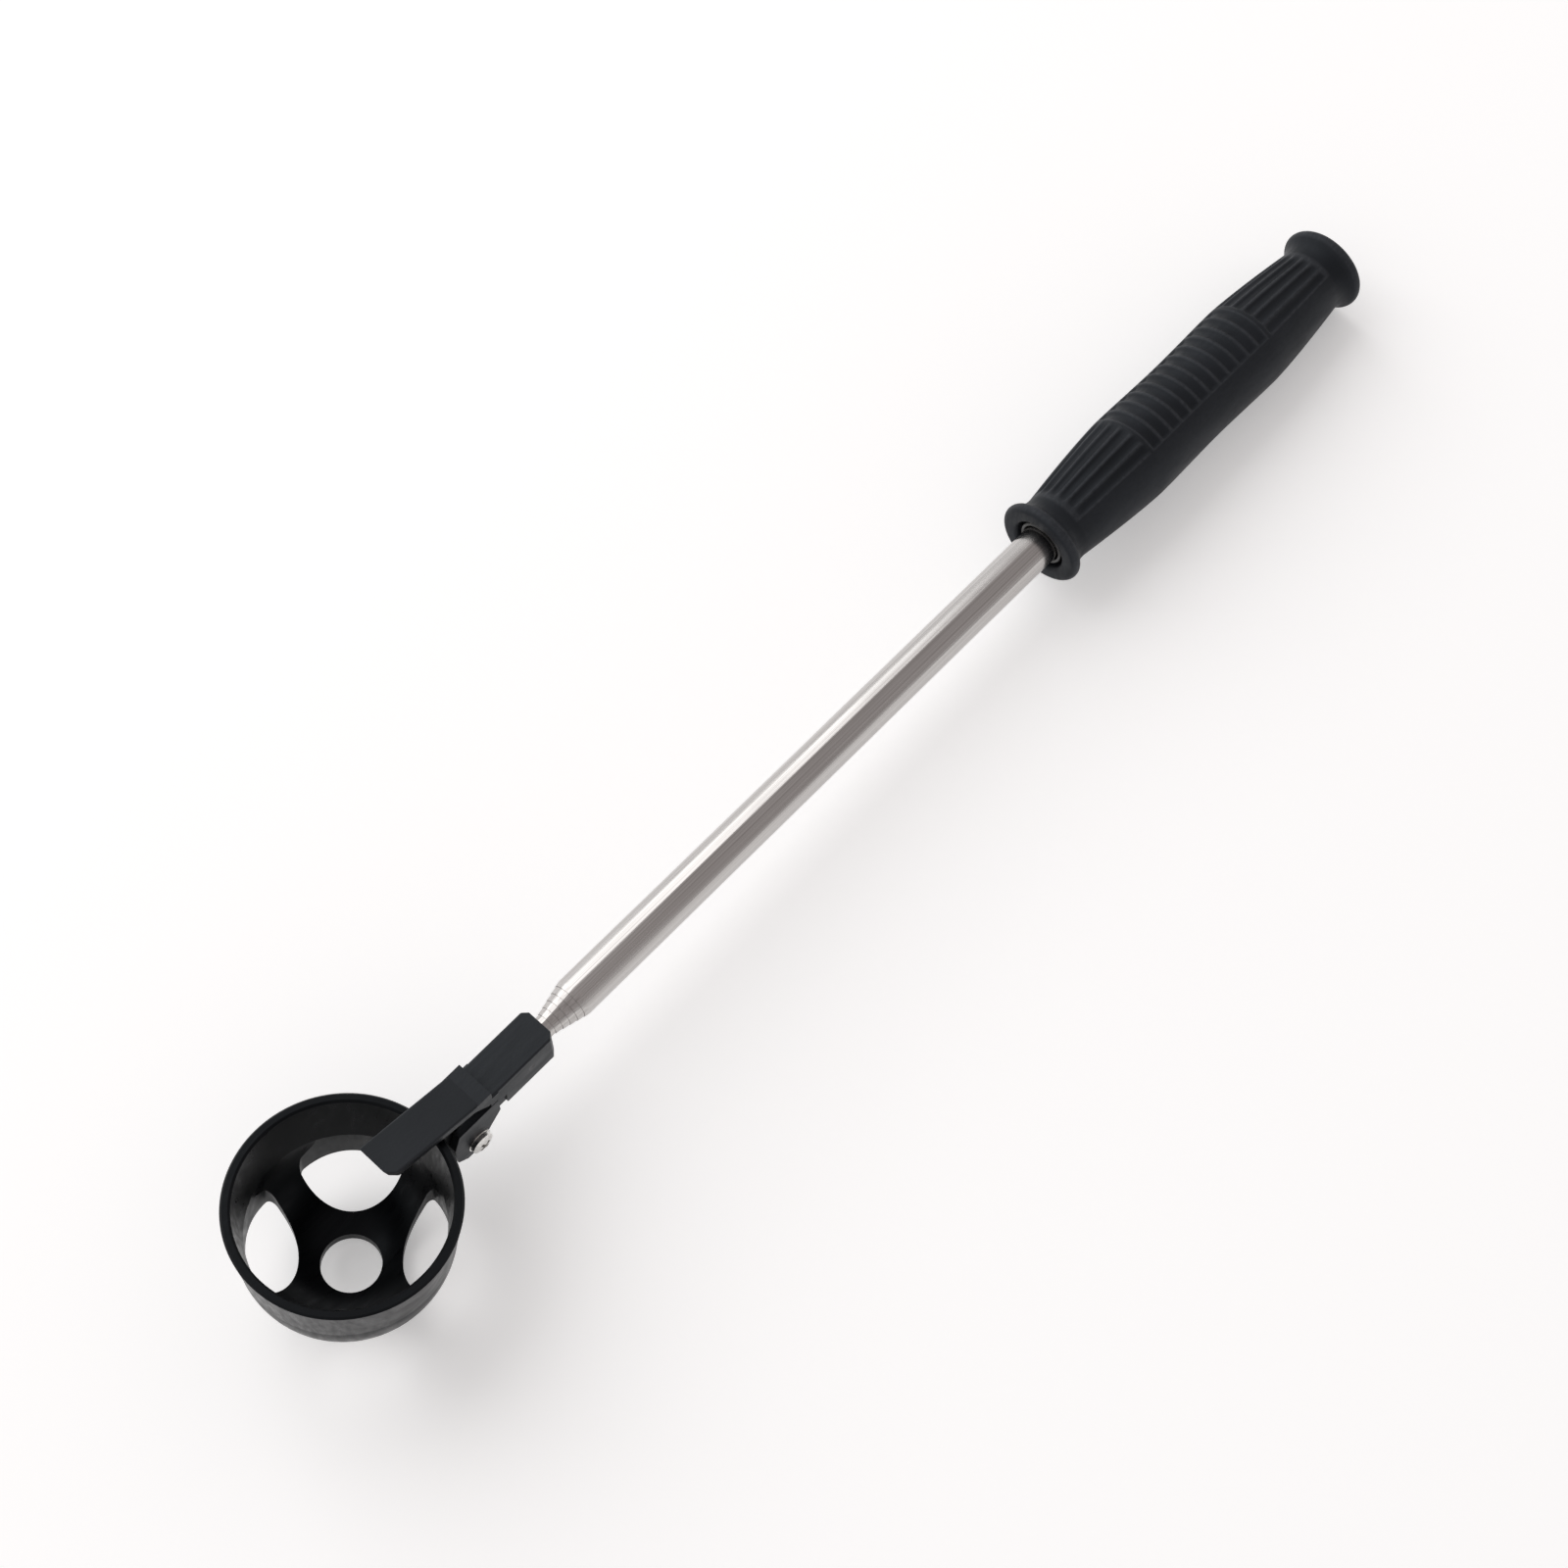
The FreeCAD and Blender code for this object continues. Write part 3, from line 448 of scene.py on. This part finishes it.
def skin_radius(place):
    """Radius of the plain skin, at a distance in millimetres from the sleeve's front face."""
    near_end = min(place, GRIP_LEN - place)
    if near_end < NECK[0]:
        rise = (NECK[0] - near_end) / (NECK[0] - RIM[-1][0])
        return NECK[1] + (RIM[-1][1] - NECK[1]) * rise ** 3
    if near_end < BELLY[0]:
        part = (near_end - NECK[0]) / (BELLY[0] - NECK[0])
        return NECK[1] + (BELLY[1] - NECK[1]) * (1 - (1 - part) ** BULGE)
    part = abs(2 * place / GRIP_LEN - 1) / (1 - 2 * BELLY[0] / GRIP_LEN)
    return WAIST + (BELLY[1] - WAIST) * smooth(part)


# %% Outline of the sleeve
RIM = [(RIM_HALF - RIM_HALF * math.cos(math.radians(a)),
        RIM_RADIUS - RIM_HALF + RIM_HALF * math.sin(math.radians(a)))
       for a in range(0, RIM_TURN + 1, 10)]
outline = [(RECESS, BORE), (1.0, BORE), (0.45, BORE + 0.15), (0.1, BORE + 0.5), (0.0, BORE + 1.0)]
outline += RIM
place = RIM[-1][0] + 0.4
while place < GRIP_LEN - RIM[-1][0] - 0.3:
    outline.append((place, skin_radius(place)))
    ringed = BELLY[0] - FINE_MARGIN < place < GRIP_LEN - BELLY[0] + FINE_MARGIN
    place += FINE_STEP if ringed else STEP
outline += [(GRIP_LEN - along, radius) for along, radius in reversed(RIM)]
outline += [(GRIP_LEN, BORE + 0.4), (GRIP_LEN - 0.4, BORE), (GRIP_LEN - CAP_LEN, BORE)]
print("the sleeve's outline has", len(outline), "points")


# %% [markdown]
# ## Ribs of the grip
#
# The ribs stand in two panels, one on each side, with a plain band between them for the palm.
# In a panel the ends have ribs along the sleeve and the waist has ribs round it.  They could be
# separate strips joined on, but pressing the skin down between them keeps one clean surface.

# %% Height of a rib
def rib_height(place, turn):
    """From 0 between ribs to 1 on a rib; 1 as well where the skin is plain."""
    near_end = min(place, GRIP_LEN - place)
    away = abs((turn - PANEL_TURN + math.pi / 2) % math.pi - math.pi / 2)
    panel = smooth((PANEL_HALF - away) / PANEL_EDGE)
    if near_end < BELLY[0]:
        wave = RIBS * (turn - PANEL_TURN)
        start, stop = RIB_SPAN
        panel *= (smooth((near_end - start) / RIB_RUN_IN)
                  * smooth((stop - near_end) / RIB_RUN_OUT))
    else:
        wave = 2 * math.pi * (place - BELLY[0]) * RINGS / (GRIP_LEN - 2 * BELLY[0])
    return 1.0 - panel * (1.0 - (0.5 + 0.5 * math.cos(wave)) ** RIB_SHARPNESS)


# %% Spin the sleeve and press the skin down between the ribs
SLEEVE_STEPS = 240
PLAIN_WEAR_AND_HIGHLIGHT = 0.25
CREST_FROM = 0.55

sleeve = spun(outline, SLEEVE_STEPS)
# The crest value marks where the rubber is painted paler, partly as rubbed wear and partly as a
# painted highlight: the rim edges, the rib tops and, faintly, the plain skin.
mark = sleeve.verts.layers.float.new("crest")
for point in sleeve.verts:
    place = point.co.x / MM + GRIP_LEN
    near_end = min(place, GRIP_LEN - place)
    radius = math.hypot(point.co.y, point.co.z) / MM
    if near_end < RIB_SPAN[0]:
        point[mark] = smooth(radius - RIM_RADIUS + 1.0)
    elif radius > BORE + 1.0:
        height = rib_height(place, math.atan2(point.co.z, point.co.y))
        press = 1.0 - RIB_DEPTH * (1.0 - height) / radius
        point.co.y *= press
        point.co.z *= press
        plain = rib_height(place, PANEL_TURN + math.pi / 2) == height
        crest_wear_and_highlight_amount = smooth((height - CREST_FROM) / (1.0 - CREST_FROM))
        point[mark] = PLAIN_WEAR_AND_HIGHLIGHT if plain else crest_wear_and_highlight_amount
grip_sleeve = finished(sleeve, "grip_sleeve", grip_rubber, HANDLE, 60.0)
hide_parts("grip")
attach(grip_sleeve, "handle")

# %% [markdown]
# ## Ferrule in the grip's mouth
#
# A small glossy ring closes the gap between the rubber and the pole.  It is a bead that could
# be a torus, but its front is flatter than its sides, so it is spun from its own outline.

# %% Ferrule
FERRULE = [(1.5, 5.42), (1.05, 5.6), (0.85, 6.0), (0.95, 6.4), (1.35, 6.7), (1.9, 6.8),
           (4.9, 6.8), (4.9, 5.42)]
FERRULE_STEPS = 96
ring = spun(FERRULE, FERRULE_STEPS)
grip_ferrule = finished(ring, "grip_ferrule", core_plastic, HANDLE, 50.0)
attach(grip_ferrule, "handle")

# %% [markdown]
# ## Pivot screw
#
# The cup turns on a small pan head screw.  Its domed head has a cross recess, which the solid
# piece lacks.  Cutting crossed boxes out of a dome leaves ragged faces, so the head starts as a
# flat grid instead: the cells of the cross are pushed in, the square is rounded to a disc, the
# disc is domed, and its rim is drawn down to the washer.

# %% Screw head with a cross recess
low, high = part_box("pivot_screw")
PIVOT = Vector(((low.x + high.x) / 2, low.y, (low.z + high.z) / 2))
HEAD_RADIUS = (high.x - low.x) / 2
HEAD_HEIGHT = 1.9 * MM
DOME = 0.75 * MM
CELLS = 30
ARM, REACH = 2.1 / CELLS * 2, 0.56
RECESS_TAPER, RECESS_DEPTH = 0.86, 0.95 * MM
SHANK_RADIUS = 1.5 * MM
SHANK_LEN = high.y - low.y - HEAD_HEIGHT

screw = bmesh.new()
bmesh.ops.create_grid(screw, x_segments=CELLS, y_segments=CELLS, size=1.0)
cross = []
for face in screw.faces:
    middle = face.calc_center_median()
    narrow, wide = sorted((abs(middle.x), abs(middle.y)))
    if narrow < ARM and wide < REACH:
        cross.append(face)
rim = [edge for edge in screw.edges if edge.is_boundary]
sunk = bmesh.ops.extrude_face_region(screw, geom=cross)["geom"]
bmesh.ops.delete(screw, geom=cross, context="FACES")
sunk = [part for part in sunk if isinstance(part, bmesh.types.BMVert)]
for point in sunk:
    point.co *= RECESS_TAPER
drawn = bmesh.ops.extrude_edge_only(screw, edges=rim)["geom"]
drawn = [part for part in drawn if isinstance(part, bmesh.types.BMVert)]
for point in screw.verts:
    x, y = point.co.x, point.co.y
    u, v = x * math.sqrt(1 - y * y / 2), y * math.sqrt(1 - x * x / 2)
    fall = DOME * (u * u + v * v) ** 1.3
    point.co = Vector((u * HEAD_RADIUS, v * HEAD_RADIUS, -fall))
for point in sunk:
    point.co.z -= RECESS_DEPTH
for point in drawn:
    point.co.z = -HEAD_HEIGHT
bmesh.ops.holes_fill(screw, edges=[edge for edge in screw.edges if edge.is_boundary])
bmesh.ops.create_cone(
    screw, cap_ends=True, segments=48, radius1=SHANK_RADIUS, radius2=SHANK_RADIUS,
    depth=SHANK_LEN, matrix=Matrix.Translation((0, 0, -HEAD_HEIGHT - SHANK_LEN / 2)))
FACING = Matrix.Rotation(math.radians(25), 4, "Z")
TURNED = Matrix.Translation(PIVOT) @ Matrix.Rotation(math.radians(90), 4, "X") @ FACING
pivot_bolt = finished(screw, "pivot_screw_head", fastener_steel, TURNED, 32.0)
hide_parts("pivot_screw")
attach(pivot_bolt, "head")
